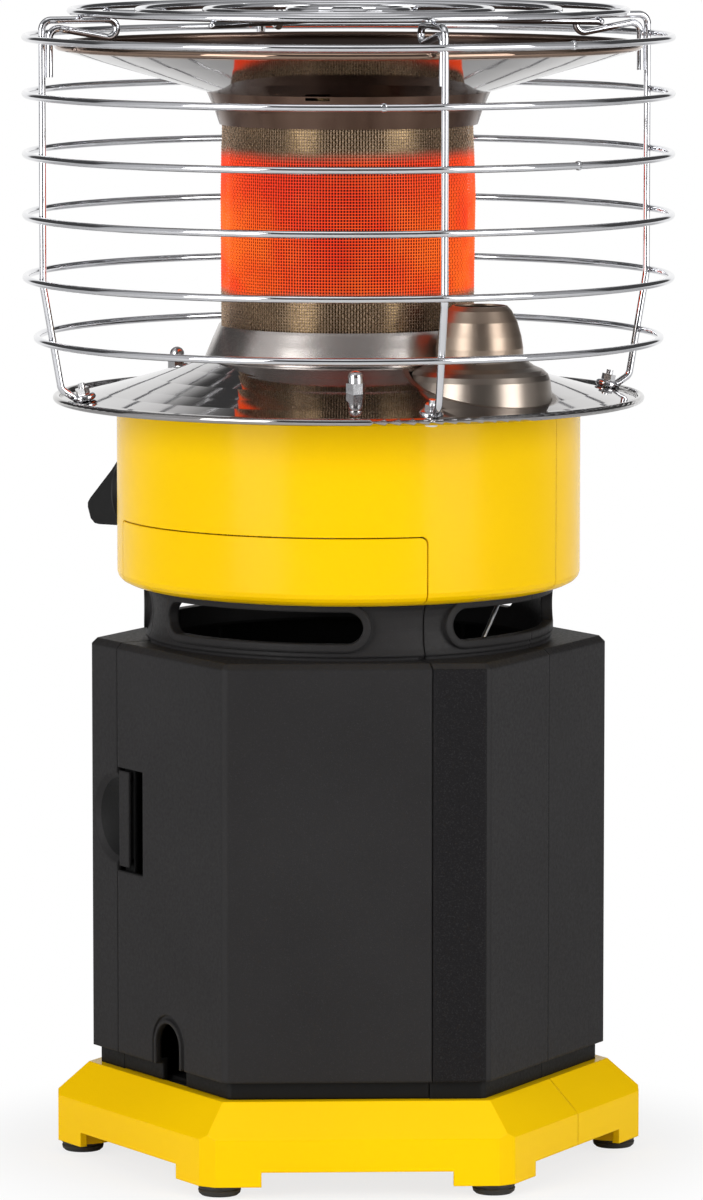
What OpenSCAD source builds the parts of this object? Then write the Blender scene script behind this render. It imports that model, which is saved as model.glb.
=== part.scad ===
// Portable propane heater. Millimetres, +Z up, origin on the floor under the centre.
// Angles called "az" are measured from the front (-Y), positive towards +X.

/* [Cage] */
// Centreline radius of the guard rings
cage_r = 135.7; // [133.7:0.1:137.7]
// Guard wire diameter
wire_d = 3; // [2.6:0.1:3.2]
// Height of the lowest full-size guard ring
ring_low_z = 372.6; // [371:0.1:374]
// Height of the highest guard ring
ring_high_z = 473.3; // [471:0.1:475]
// Height of the small bottom guard ring
ring_foot_z = 347.1; // [345:0.1:349]

/* [Top grille] */
// Centreline radius of the outer grille ring
grille_r = 116.6; // [114:0.2:118]
// Centreline radius of the innermost grille ring
grille_hub_r = 25; // [20:1:30]
// Height of the grille rings
grille_z = 484.3; // [483.5:0.1:485]

/* [Burner and reflectors] */
// Radius of the woven emitter
mesh_r = 53.4; // [52:0.1:54]
// Outer radius of the lower dish
dish_r = 124.7; // [122:0.1:126]
// Outer radius of the upper reflector
refl_r = 123.5; // [120:0.1:124]
// Sheet thickness
sheet = 0.8; // [0.6:0.1:1]

/* [Drum] */
// Outer radius of the drum
drum_r = 97.8; // [97:0.1:99]
// Drum wall thickness
drum_t = 2.4; // [2:0.1:2.4]

/* [Hexagonal body] */
// Corner radius of the body before its corners are cut
body_r = 109.5; // [109:0.1:110]
// Distance from the axis to the cut corner
body_cut = 108.7; // [108.2:0.1:108.9]
// Wall thickness
wall = 2.5; // [2.2:0.1:2.5]
// Height of the top deck
deck_z = 219.8; // [219:0.1:220.5]

/* [Base] */
// Corner radius of the base before its corners are cut
base_r = 126; // [125:0.2:127]
// Distance from the axis to the cut corner
base_cut = 123.8; // [122.8:0.2:124.4]
// Height of the top of the base
base_top = 38; // [37.8:0.1:38]

/* [Door] */
// Opening between the door and its frame
seam = 0.5; // [0.4:0.05:0.6]
// Radial clearance of the hinge pins
run = 0.06; // [0.03:0.01:0.09]

/* [Part to show] */
// Part to show, or all

/* [Hidden] */
$fn = 96;
e = 0.01;
wr = wire_d / 2;
c30 = cos(30);
door_az = -30;
ups = [15, 105, 195, 285];
// welded wires sink a little into each other
weld = 0.1;
upr_r = cage_r - wire_d + weld;
ring_gap = (ring_high_z - ring_low_z) / 4;
leg_z = grille_z - wire_d + weld;
yellow = [1, 0.82, 0];
black = [0.22, 0.22, 0.23];
steel = [0.75, 0.75, 0.77];
dark = [0.45, 0.4, 0.36];
brass = [0.8, 0.65, 0.3];
// hinge axis
hx = 42;
hy = -88.9;
face_y = body_r * c30;
hinge_z = [78, 188];
arm_h = 8;
// latch, measured along the left front face from the front-left corner
slot_a = 65.8;
slot_b = 86.85;
slot_lo = 123.3;
slot_hi = 167.3;
// height of the centre of the hose port arch
port_z = 54.2;
// knob
knob_az = -120;
knob_z = 277.5;
// pilot
pilot_r = 78;
pilot_az = 42;

// ---------- helpers ----------
// turn the front (-Y) to az
module at(az) {
  rotate([0, 0, az]) children();
}
// turn the +X radial plane to az
module plane_at(az) {
  rotate([0, 0, az - 90]) children();
}
// frame on the left front face: x runs from the front-left corner towards the left
// corner, y points out of the face and z is up
module left_face() {
  translate([-body_r / 2, -face_y, 0]) rotate([0, 0, 120]) children();
}
module rod(p, q, r) {
  v = q - p;
  l = norm(v);
  translate(p) rotate([0, acos(v[2] / l), atan2(v[1], v[0])]) cylinder(r = r, h = l);
}
function unit(v) = v / norm(v);
// rod that laps into its neighbours by 0.2 mm
module lapped(p, q, r) {
  u = unit(q - p) * 0.2;
  rod(p - u, q + u, r);
}
// bend in the plane of the two directions, from a corner at p
module corner(p, d0, d1, big, r) {
  a = acos(d0 * d1);
  c = p + unit(d1 - d0) * big / cos(a / 2);
  ux = unit(p - d0 * big * tan(a / 2) - c);
  uz = cross(ux, d0);
  multmatrix([[ux[0], d0[0], uz[0], c[0]], [ux[1], d0[1], uz[1], c[1]],
    [ux[2], d0[2], uz[2], c[2]], [0, 0, 0, 1]])
    rotate_extrude(angle = a) translate([big, 0]) circle(r = r * 1.01, $fn = 32);
}
// round bar through pts with a bend radius at each inner point
module bent(pts, bends, r) {
  n = len(pts) - 1;
  dirs = [for (i = [0 : n - 1]) unit(pts[i + 1] - pts[i])];
  cut = [for (i = [0 : n]) i == 0 || i == n ? 0
    : bends[i - 1] * tan(acos(dirs[i - 1] * dirs[i]) / 2)];
  union() {
    for (i = [0 : n - 1]) lapped(pts[i] + dirs[i] * cut[i],
      pts[i + 1] - dirs[i] * cut[i + 1], r);
    for (i = [1 : n - 1]) corner(pts[i], dirs[i - 1], dirs[i], bends[i - 1], r);
  }
}
function polar(r, az, z) = [r * sin(az), -r * cos(az), z];
// torus sector in the XZ plane
module elbow(cx, cz, big, a0, sweep, r) {
  translate([cx, 0, cz]) rotate([90, 0, 0]) rotate([0, 0, a0])
    rotate_extrude(angle = sweep) translate([big, 0]) circle(r = r * 1.01, $fn = 32);
}
module hexp(r, z0, z1) {
  translate([0, 0, z0]) cylinder(r = r, h = z1 - z0, $fn = 6);
}
// hexagonal prism with its corners cut at distance d
module cut_hex(r, d, z0, z1) {
  intersection() {
    hexp(r, z0, z1);
    rotate([0, 0, 30]) hexp(d / c30, z0, z1);
  }
}
// the same, with its top edge cut at k mm of corner radius for each mm of height
module tapered_hex(r, d, k, top_r, z0, z1) {
  intersection() {
    cut_hex(r, d, z0, z1);
    translate([0, 0, -20]) cylinder(r1 = top_r + k * (z1 + 20), r2 = top_r, h = z1 + 20, $fn = 6);
  }
}
module front_half(gap) {
  rotate([0, 0, door_az]) translate([-200, -400 - gap, -10]) cube([400, 400, 560]);
}
module rear_half(gap) {
  rotate([0, 0, door_az]) translate([-200, gap, -10]) cube([400, 400, 560]);
}
// ring sector centred on az
module sector(az, half, r0, r1, z0, z1) {
  rotate([0, 0, az - 90 - half]) rotate_extrude(angle = 2 * half)
    translate([r0, z0]) square([r1 - r0, z1 - z0]);
}
module ring(r0, r1, z0, z1) {
  rotate_extrude() translate([r0, z0]) square([r1 - r0, z1 - z0]);
}
// a slot with round ends, wrapped round the axis
module wrap_slot(az, zc, hh, half, r0, r1) {
  sector(az, half, r0, r1, zc - hh, zc + hh);
  for (s = [-1, 1]) rotate([0, 0, az + s * half]) translate([0, -r0, zc])
    rotate([90, 0, 0]) cylinder(r = hh, h = r1 - r0, $fn = 64);
}

// ---------- base ----------
module base_outer() {
  block_z = 4.7;
  bevel_z = 24.3;
  notch = base_r - 2 * (8 + 15.4);
  slope = (base_r - 110.6) / (base_top - bevel_z);
  difference() {
    tapered_hex(base_r, base_cut, slope, 110.6, block_z, base_top);
    for (k = [0 : 5]) rotate([0, 0, 60 * k]) translate([-notch / 2, -140, -1])
      cube([notch, 140, 11.85]);
    difference() {
      tapered_hex(base_r - 3.6, base_cut - 3.4, slope, 110.6 - 1.4, -1, base_top - 3);
      for (k = [0 : 5]) rotate([0, 0, 60 * k + 30]) translate([0, -113.4, 0])
        cylinder(r = 14.2, h = 60);
    }
    // foot sockets
    for (k = [0 : 5]) rotate([0, 0, 60 * k + 30]) translate([0, -113.4, -1])
      cylinder(r = 3, h = 21);
    // screw holes into the shells
    for (k = [0 : 5]) rotate([0, 0, 60 * k + 30]) translate([0, -92, 20])
      cylinder(r = 1.7, h = 30);
    // hand hole in the middle of the floor, under the cylinder
    translate([0, 0, 20]) cylinder(r = 30, h = 30);
  }
}
module base_front() {
  color(yellow) intersection() {
    base_outer();
    front_half(0.15);
  }
}
module base_rear() {
  color(yellow) intersection() {
    base_outer();
    rear_half(0.15);
  }
}
module rubber_feet() {
  color([0.1, 0.1, 0.1]) for (k = [0 : 5]) rotate([0, 0, 60 * k + 30])
    translate([0, -113.4, 0]) rotate_extrude()
      polygon([[0, 0], [7.6, 0], [8.6, 0.9], [8.9, 2.2], [8.5, 2.7], [8.8, 3.3],
        [8.8, 4.7], [3, 4.7], [3, 16], [0, 16]]);
}
module base_screws() {
  color(steel) for (k = [0 : 5]) rotate([0, 0, 60 * k + 30])
    translate([0, -92, 0]) union() {
      translate([0, 0, 32.3]) cylinder(r = 3.2, h = 2.2, $fn = 32);
      translate([0, 0, 34]) cylinder(r = 1.7, h = 7.5, $fn = 32);
    }
}
module cylinder_seat() {
  color(black) difference() {
    union() {
      cut_hex(100, 88.5, base_top, base_top + 1.6);
      translate([0, 0, base_top + 0.4]) cylinder(r = 54, h = 7.6);
    }
    translate([0, 0, base_top + 1.6]) cylinder(r = 51.2, h = 10);
    translate([0, 0, base_top - 1]) cylinder(r = 30, h = 10);
    for (a = [0 : 60 : 300]) rotate([0, 0, a]) translate([-6, 40, base_top + 3.6])
      cube([12, 20, 10]);
  }
}

// ---------- body shells ----------
module neck_outer() {
  rotate_extrude() polygon([[0, deck_z - 1], [85.3, deck_z - 1], [85.3, deck_z + 1.4],
    [86, deck_z + 1.6], [86, deck_z + 2.2], [85, deck_z + 4.4], [84.4, deck_z + 7.5],
    [84, deck_z + 11.5], [84, 233], [84.3, 237.5], [85, 240.5], [86, 242],
    [86, 242.5], [84.2, 242.5], [84.2, 262], [0, 262]]);
}
module body_outer() {
  cut_hex(105.9, 105.3, base_top, 45.6);
  intersection() {
    tapered_hex(body_r, body_cut, 1 / c30, body_r - 2.4 / c30, 45.5, deck_z);
    translate([0, 0, -20]) rotate([0, 0, 30])
      cylinder(r1 = (body_cut + deck_z + 17.6) / c30, r2 = (body_cut - 2.4) / c30,
        h = deck_z + 20, $fn = 6);
  }
  neck_outer();
  for (a = [door_az : 90 : door_az + 270]) intersection() {
    wrap_slot(a, 233.5, 10, 27.6, 70, 95);
    translate([0, 0, 200]) cylinder(r = 86.6, h = 60);
  }
}
module body_inner() {
  cut_hex(103, 102.4, base_top - 2, 48);
  cut_hex(body_r - wall / c30, body_cut - wall, 47.5, deck_z - wall);
  translate([0, 0, deck_z - wall - 1]) cylinder(r = 81.8, h = 80);
}
module vents() {
  for (a = [door_az : 90 : door_az + 270]) wrap_slot(a, 233.5, 6.7, 27.6, 60, 110);
}
module hose_port_cut() {
  left_face() translate([45.3, -12, 0]) {
    translate([-9.6, 0, base_top - 1]) cube([19.2, 24, port_z + 0.1 - base_top + 1]);
    translate([0, 24, port_z]) rotate([90, 0, 0]) cylinder(r = 9.6, h = 24);
  }
}
// the part of the hexagon and plinth that is the door, up to top; g is the gap
module door_zone(g, top) {
  h = g / 2;
  translate([0, 0, base_top - 6]) linear_extrude(height = top - base_top + 6)
    polygon([[44.06 - h, -130], [22.46 - h, -70], [22.46 - h, -60], [-60, -2],
      [-72.2 + 0.5 * h, -4.61 - 0.866 * h], [-132.82 + 0.5 * h, -39.61 - 0.866 * h],
      [-160, -160], [44.06 - h, -160]]);
}
module neck_zone(g, low) {
  sector(door_az, 49.6 - g * 0.34, 60, 87, low, 300);
}
module shell() {
  difference() {
    body_outer();
    body_inner();
    vents();
  }
}
module hinge_lugs() {
  for (z = hinge_z) for (s = [-1, 1]) translate([0, 0, z + s * (arm_h / 2 + 1.9)])
    difference() {
      union() {
        translate([hx - 3.6, -face_y + 1, -1.5]) cube([7.2, hy + face_y - 1, 3]);
        translate([hx, hy, -1.5]) cylinder(r = 3.6, h = 3, $fn = 48);
      }
      translate([hx, hy, -5]) cylinder(r = 1.5, h = 10, $fn = 48);
    }
}
module scoop(r) {
  // round finger scoop beside the latch
  left_face() translate([slot_b, 27, 145.8]) sphere(r = r, $fn = 128);
}
module frame_front() {
  color(black) difference() {
    union() {
      intersection() {
        union() {
          shell();
          // neck carried up behind the drum
          ring(81.8, 84.2, 250, 273.5);
          // thick backing of the scoop
          intersection() {
            scoop(35.8);
            cut_hex(body_r - 1, body_cut - 1, 100, 190);
          }
        }
        front_half(0.15);
        difference() {
          translate([0, 0, 150]) cylinder(r = 200, h = 300, center = true);
          door_zone(-seam, deck_z + 0.4);
          intersection() {
            neck_zone(-seam, deck_z);
            translate([0, 0, 200]) cylinder(r = 200, h = 72.3);
          }
        }
      }
      // ring that joins the two strips over the door
      intersection() {
        ring(81.8, drum_r - drum_t, 272.3, 273.5);
        front_half(0.15);
      }
      hinge_lugs();
    }
    scoop(33.3);
    knob_hole();
  }
}
module shell_rear() {
  color(black) intersection() {
    union() {
      shell();
      ring(81.8, 84.2, 250, 268);
    }
    rear_half(0.15);
  }
}
// ---------- drum ----------
foot_profile = [[drum_r, 248.6], [97.2, 246.8], [95.8, 245.3], [93.2, 244],
  [90, 243.1], [87.3, 242.7], [87.3, 244.9], [91.5, 245.9], [93.8, 247.4],
  [drum_r - drum_t, 249.8]];
module drum_wall() {
  ri = drum_r - drum_t;
  rotate_extrude() polygon(concat([[drum_r, 325.5]], foot_profile, [[ri, 296.4],
    [91.5, 297.2], [91.5, 299.7], [ri, 299.7], [ri, 325.5]]));
}
// top corners of the band: what is outside a radius of 3 mm
module band_corners(half, top) {
  arc = [for (a = [0 : 15 : 90]) [3.03 * cos(a) - 3, 3.03 * sin(a) - 3]];
  for (s = [-1, 1]) rotate([0, 0, door_az + s * half]) translate([0, -65, top])
    rotate([90, 0, 0]) linear_extrude(height = 60)
      polygon([for (p = concat(arc, [[-3, 1], [1, 1], [1, -3]])) [s * p[0], p[1]]]);
}
module band_zone(g) {
  half = 47.43 - g * 0.293;
  top = 271.9 - g / 2;
  difference() {
    sector(door_az, half, 70, 120, 240, top);
    band_corners(half, top);
  }
}
module knob_hole() {
  rotate([0, 0, knob_az]) translate([0, -60, knob_z]) rotate([90, 0, 0])
    cylinder(r = 6, h = 60);
}
module drum_front() {
  color(yellow) difference() {
    intersection() {
      drum_wall();
      front_half(0.15);
    }
    band_zone(-seam);
    knob_hole();
  }
}
module drum_rear() {
  color(yellow) difference() {
    intersection() {
      drum_wall();
      rear_half(0.15);
    }
    knob_hole();
  }
}
module bulkhead() {
  color(steel) difference() {
    ring(46, 94.9, 299.7, 300.9);
    translate(polar(60, 42, 290)) cylinder(r = 9, h = 20);
    for (a = [0, 120, 240]) translate(polar(83, a, 290)) cylinder(r = 2, h = 20, $fn = 32);
  }
}
// plate across the air inlet that carries the injector and the mixing tube
module injector_bridge() {
  color(steel) rotate([0, 0, door_az]) difference() {
    union() {
      translate([-13, -54, 300.9]) cube([26, 108, 1.5]);
      translate([0, 0, 301.2]) cylinder(r = 17.8, h = 1.8);
    }
    translate([0, 0, 290]) cylinder(r = 5.1, h = 20);
    for (y = [-50, 50]) translate([0, y, 290]) cylinder(r = 1.8, h = 20, $fn = 32);
  }
}

// ---------- gas train ----------
module regulator() {
  color([0.62, 0.62, 0.63]) difference() {
    union() {
      rotate_extrude() polygon([[0, 232.6], [15.4, 232.6], [16.4, 233.6], [16.4, 246],
        [12, 247.5], [12, 250], [23, 251.5], [26, 253.5], [26, 257], [28, 257],
        [28, 260], [26, 260], [25, 264], [17, 268], [9, 269.5], [9, 272], [0, 272]]);
      rotate([0, 0, knob_az]) translate([0, 0, 262]) rotate([90, 0, 0]) cylinder(r = 6, h = 34);
    }
    translate([0, 0, 231]) cylinder(r = 12.15, h = 12.6);
    translate([0, 0, 243]) cylinder(r = 9.3, h = 3);
    translate([0, 0, 240]) cylinder(r = 3, h = 22);
    rotate([0, 0, knob_az]) translate([0, -22, 262]) rotate([90, 0, 0]) cylinder(r = 2.5, h = 20);
  }
}
module inlet_seal() {
  color([0.1, 0.1, 0.1]) translate([0, 0, 243.95]) difference() {
    cylinder(r = 9, h = 2);
    translate([0, 0, -1]) cylinder(r = 3, h = 4);
  }
}
module regulator_bracket() {
  color(steel) for (s = [-1, 1]) rotate([0, 0, door_az]) translate([-8, 0, 0]) union() {
    translate([0, s * 26.8 - 0.8, 260]) cube([16, 1.6, 40.9]);
    translate([0, s * 31 - 5.2, 299.3]) cube([16, 10.4, 1.6]);
  }
}
function val(x, y, z) = [x * cos(knob_az) - y * sin(knob_az),
  x * sin(knob_az) + y * cos(knob_az), z];
module valve_body() {
  color(brass) rotate([0, 0, knob_az]) difference() {
    union() {
      translate([-12, -72, 255]) cube([24, 26, 34.5]);
      translate([0, -71, knob_z]) rotate([90, 0, 0]) cylinder(r = 8, h = 7.4);
      translate([-8, -68, 289]) cube([16, 18, 10.7]);
    }
    translate([0, -69, knob_z]) rotate([90, 0, 0]) cylinder(r = 3.5 + run, h = 20);
  }
}
module feed_tube() {
  color(brass) rotate([0, 0, knob_az]) translate([0, -34, 262]) rotate([90, 0, 0])
    cylinder(r = 2.5, h = 12);
}
module main_tube() {
  color(brass) bent([val(0, -45.7, 281), [0, 0, 281], [0, 0, 289.8]], [6], 2.2);
}
module injector() {
  color(brass) union() {
    translate([0, 0, 290.1]) cylinder(r = 6.5, h = 10.8, $fn = 6);
    translate([0, 0, 300]) cylinder(r = 5, h = 7);
    translate([0, 0, 307]) cylinder(r1 = 4, r2 = 2, h = 3);
  }
}
module venturi() {
  color([0.68, 0.68, 0.7]) rotate_extrude() polygon([[16, 303], [17, 303], [17, 312],
    [11, 318], [11, 330.6], [10.2, 330.6], [10.2, 317.6], [16, 311.7]]);
}
module burner_cup() {
  color(steel) rotate_extrude() polygon([[11, 330], [44, 330], [50.5, 336], [50.5, 352],
    [49.7, 352], [49.7, 336.4], [43.7, 330.8], [11, 330.8]]);
}
module emitter_mesh() {
  color([0.85, 0.3, 0.15]) translate([0, 0, 339.2]) difference() {
    cylinder(r = mesh_r, h = 111.3);
    translate([0, 0, -1]) cylinder(r = mesh_r - sheet, h = 114);
  }
}
module inner_screen() {
  color(dark) translate([0, 0, 352]) difference() {
    cylinder(r = 50, h = 98.5);
    translate([0, 0, -1]) cylinder(r = 49.2, h = 101);
  }
}
module lower_collar() {
  color(steel) rotate_extrude() polygon([[mesh_r, 352.6], [mesh_r + 1.2, 352.6],
    [55.2, 351.4], [57.4, 346.4], [60.4, 339.3], [60.1, 338.7], [59.5, 338.8],
    [56.5, 346.4], [54.4, 351], [mesh_r, 351.4]]);
}
module upper_collar() {
  color([0.5, 0.38, 0.3]) difference() {
    rotate_extrude() polygon([[mesh_r, 436.8], [mesh_r + 0.9, 436.8], [56.4, 443],
      [59.7, 450.5], [58.8, 450.5], [55.5, 443], [mesh_r, 437.8]]);
    sector(-14.5, 5, 50, 70, 448.8, 450.1);
  }
}
module upper_reflector() {
  color([0.6, 0.5, 0.42]) rotate_extrude() union() {
    polygon([[0, 450.5], [59.7, 450.5], [82, 456.8], [104, 463], [refl_r - 2.2, 468],
      [refl_r - 2.2, 468.9], [104, 463.9], [82, 457.7], [59.4, 451.4], [0, 451.4]]);
    translate([refl_r - 1.55, 469.6]) circle(r = 1.55, $fn = 32);
  }
}
dish_top = [[52, 339.2], [55, 339.2], [60, 338.6], [70, 335.1], [83, 330.9], [95, 327.6],
  [105, 325], [115, 322.8], [dish_r - 2.6, 321.5]];
// pressed boss that the pilot stands on, cut off under the sheet
module pilot_boss() {
  intersection() {
    difference() {
      translate(polar(pilot_r, pilot_az, 0)) rotate_extrude() polygon([[13.5, 343.2],
        [18.4, 343.2], [19.8, 341.6], [23, 339.4], [26.3, 338], [28.3, 336.3], [29.3, 334],
        [29.8, 330], [30.5, 324], [31, 318], [30.2, 318], [29.7, 324], [29, 330],
        [28.5, 333.7], [27.7, 335.6], [26, 337.2], [22.7, 338.6], [19.3, 340.8],
        [18.1, 342.4], [13.5, 342.4]]);
      translate([0, 0, 300]) cylinder(r = 61.4, h = 100);
    }
    rotate_extrude() polygon([[50, 338.8], [57, 338.6], [70, 334.7], [83, 330.5], [95, 327.2],
      [105, 324.6], [115, 322.4], [130, 320.6], [130, 350], [50, 350]]);
  }
}
module lower_dish() {
  color(steel) difference() {
    union() {
      translate([0, 0, 321.85]) rotate_extrude() translate([dish_r - 1.5, 0])
        circle(r = 1.5, $fn = 32);
      difference() {
        rotate_extrude() polygon(concat(dish_top, [[dish_r - 2.6, 320.8], [115, 322],
          [105, 324.2], [95, 326.8], [83, 330.1], [70, 334.3], [60, 337.8], [55, 338.4],
          [52, 338.4]]));
        difference() {
          translate(polar(pilot_r, pilot_az, 300)) cylinder(r = 29.35, h = 60);
          translate([0, 0, 290]) cylinder(r = 62, h = 80);
        }
      }
      pilot_boss();
    }
    for (a = [0, 120, 240]) translate(polar(83, a, 300)) cylinder(r = 2, h = 60, $fn = 32);
    for (a = ups) translate(polar(115, a, 300)) cylinder(r = 1.9, h = 60, $fn = 32);
  }
}
module dish_studs() {
  color(steel) for (a = [0, 120, 240]) translate(polar(83, a, 0)) union() {
    translate([0, 0, 296]) cylinder(r = 2, h = 40.5, $fn = 32);
    translate([0, 0, 296.5]) cylinder(r = 3.9, h = 3.2, $fn = 6);
    translate([0, 0, 326]) cylinder(r = 3.9, h = 2.6, $fn = 6);
  }
}
// dome nuts, whose undersides follow the slope of the dish
module acorn_nuts() {
  color([0.85, 0.85, 0.87]) difference() {
    for (a = [0, 120, 240]) translate(polar(83, a, 331.1)) difference() {
      union() {
        rotate([0, 0, 15]) translate([0, 0, -1.6]) cylinder(r = 4.05, h = 5, $fn = 6);
        translate([0, 0, 1]) cylinder(r = 3.1, h = 4.6, $fn = 48);
        translate([0, 0, 5.6]) sphere(r = 3.1, $fn = 48);
      }
      translate([0, 0, -3]) cylinder(r = 2, h = 8.4, $fn = 32);
    }
    rotate_extrude() polygon([[60, 300], [60, 338.63], [70, 335.13], [83, 330.93], [95, 327.63],
      [95, 300]]);
  }
}

// ---------- pilot ----------
module pilot_shield() {
  color([0.55, 0.48, 0.4]) difference() {
    translate(polar(pilot_r, pilot_az, 0)) rotate_extrude() polygon([[10.6, 364.4],
      [11.4, 364.4], [13.2, 362.6], [15.6, 358], [17.3, 352], [18.1, 347], [18.1, 343.2],
      [17.3, 343.2], [17.3, 347], [16.5, 351.8], [14.8, 357.6], [12.4, 362], [10.6, 363.6]]);
    cylinder(r = 61.4, h = 400);
  }
}
pb = [-3.6, 0, 0];
tc = [2.6, 3, 0];
se = [2.8, -2.6, 0];
module pilot_bracket() {
  color(steel) translate(polar(pilot_r, pilot_az, 0)) difference() {
    translate([0, 0, 343.2]) cylinder(r = 17, h = 1.2);
    translate(pb + [0, 0, 330]) cylinder(r = 2, h = 20, $fn = 32);
    translate(tc + [0, 0, 330]) cylinder(r = 1.1, h = 20, $fn = 32);
    translate(se + [0, 0, 330]) cylinder(r = 1.8, h = 20, $fn = 32);
    for (a = [150, 200, 250]) rotate([0, 0, a]) translate([10.5, 0, 330])
      cylinder(r = 2, h = 20, $fn = 32);
  }
}
module pilot_burner() {
  color(brass) translate(polar(pilot_r, pilot_az, 0) + pb) difference() {
    union() {
      translate([0, 0, 336]) cylinder(r = 2, h = 14, $fn = 32);
      translate([0, 0, 350]) cylinder(r = 2.5, h = 4, $fn = 32);
    }
    translate([0, 0, 351]) cylinder(r = 1.4, h = 4, $fn = 32);
  }
}
module pilot_tube() {
  color(brass) bent([val(12.2, -60, 284), val(42, -60, 284), polar(62, -20, 288),
    polar(60, 42, 290), polar(60, 42, 312), polar(pilot_r, pilot_az, 328) + pb,
    polar(pilot_r, pilot_az, 335.8) + pb], [8, 8, 6, 6, 5], 1.5);
}
module thermocouple() {
  color([0.7, 0.5, 0.35]) bent([val(-12.2, -60, 284), val(-52, -60, 284),
    polar(84, 120, 286), polar(62, 46, 290), polar(62, 46, 312),
    polar(pilot_r, pilot_az, 328) + tc, polar(pilot_r, pilot_az, 357) + tc],
    [10, 10, 6, 6, 5], 1.1);
}
module spark_electrode() {
  color([0.93, 0.92, 0.88]) translate(polar(pilot_r, pilot_az, 0) + se) union() {
    translate([0, 0, 334]) cylinder(r = 1.8, h = 17, $fn = 32);
    translate([0, 0, 350.9]) cylinder(r = 0.6, h = 5, $fn = 24);
  }
}
module igniter_lead() {
  color([0.15, 0.15, 0.15]) bent([val(12.2, -52, 266), val(46, -52, 266),
    polar(66, -15, 286), polar(63, 36, 290), polar(63, 36, 312),
    polar(pilot_r, pilot_az, 326) + se, polar(pilot_r, pilot_az, 333.8) + se],
    [8, 8, 6, 6, 5], 0.9);
}
module stay_rod() {
  color(steel) bent([polar(80.9, 39.5, 214), polar(80.9, 39.5, 221), polar(77, 75, 264),
    polar(77, 75, 299.5)], [3, 5], 0.9);
}

// ---------- tip-over switch ----------
module switch_bracket() {
  color(steel) rotate([0, 0, 120]) difference() {
    union() {
      translate([-10, -66, 298.5]) cube([20, 22, 1.2]);
      translate([-10, -66, 272]) cube([20, 1.2, 27.7]);
      translate([0, -64.9, 290]) rotate([-90, 0, 0]) cylinder(r = 1.5, h = 9.5, $fn = 48);
      translate([0, -55.7, 290]) rotate([-90, 0, 0]) cylinder(r = 2.6, h = 0.8, $fn = 48);
    }
  }
}
module switch_pendulum() {
  color([0.5, 0.5, 0.52]) rotate([0, 0, 120]) difference() {
    union() {
      translate([0, -63.4, 290]) rotate([-90, 0, 0]) cylinder(r = 3.4, h = 7, $fn = 48);
      translate([-1.5, -61.5, 268]) cube([3, 3, 20.5]);
      translate([0, -64, 268]) rotate([-90, 0, 0]) cylinder(r = 7, h = 8);
    }
    translate([0, -70, 290]) rotate([-90, 0, 0]) cylinder(r = 1.5 + run, h = 20, $fn = 48);
  }
}

// ---------- cage ----------
module upright() {
  uc = 3.65;
  ur = 104.4;
  slope = 10.5;
  down_r = 129.6;
  ux = ur + uc * sin(slope);
  uz = leg_z - uc - uc * cos(slope);
  bent([[119.5, 0, 324.3], [125.2, 0, 327.9], [upr_r, 0, 371.5], [upr_r, 0, leg_z],
    [ur, 0, leg_z]], [4, 20, 4], wr);
  elbow(ur, leg_z - uc, uc, 90, 180 + slope, wr);
  bent([[ux, 0, uz], [down_r, 0, uz + (down_r - ux) * tan(slope)], [down_r, 0, 458]],
    [4], wr);
}
module foot_frame() {
  translate([115, 0, 322.85]) rotate([0, 13, 0]) children();
}
module cage_uprights() {
  color([0.85, 0.85, 0.88]) for (a = ups) plane_at(a) union() {
    upright();
    foot_frame() translate([0, 0, wr + 0.05]) rotate_extrude()
      translate([3.5, 0]) circle(r = wr, $fn = 32);
  }
}
module cage_nuts() {
  color([0.8, 0.8, 0.82]) for (a = ups) plane_at(a) foot_frame() union() {
    translate([0, 0, 3.1]) rotate([0, 0, 30]) cylinder(r = 3, h = 2.6, $fn = 6);
    translate([0, 0, -3]) cylinder(r = 1.45, h = 10.6, $fn = 32);
    translate([0, 0, -3.2]) cylinder(r = 3, h = 2, $fn = 32);
  }
}
module guard_ring(r, z) {
  color([0.85, 0.85, 0.88]) translate([0, 0, z]) rotate_extrude()
    translate([r, 0]) circle(r = wr, $fn = 32);
}
module guard_ring_1() {
  guard_ring(cage_r, ring_high_z);
}
module guard_ring_2() {
  guard_ring(cage_r, ring_low_z + 3.06 * ring_gap);
}
module guard_ring_3() {
  guard_ring(cage_r, ring_low_z + 2.06 * ring_gap);
}
module guard_ring_4() {
  guard_ring(cage_r, ring_low_z + 1.04 * ring_gap);
}
module guard_ring_5() {
  guard_ring(cage_r, ring_low_z);
}
module guard_ring_6() {
  guard_ring(cage_r - 4.55, ring_foot_z);
}
module grille_rings() {
  color([0.85, 0.85, 0.88]) for (r = [grille_hub_r, grille_r - 56.7, grille_r - 28.2, grille_r])
    translate([0, 0, grille_z]) rotate_extrude() translate([r, 0]) circle(r = wr, $fn = 32);
}
module grille_bars() {
  color([0.85, 0.85, 0.88]) for (a = [door_az, door_az + 90]) rotate([0, 0, a]) union() {
    translate([0, grille_r + 1, leg_z]) rotate([90, 0, 0])
      cylinder(r = wr, h = 2 * grille_r + 2, $fn = 32);
    for (s = [-1, 1]) translate([0, s * (grille_r + 1), leg_z]) sphere(r = wr, $fn = 32);
  }
}

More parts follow.
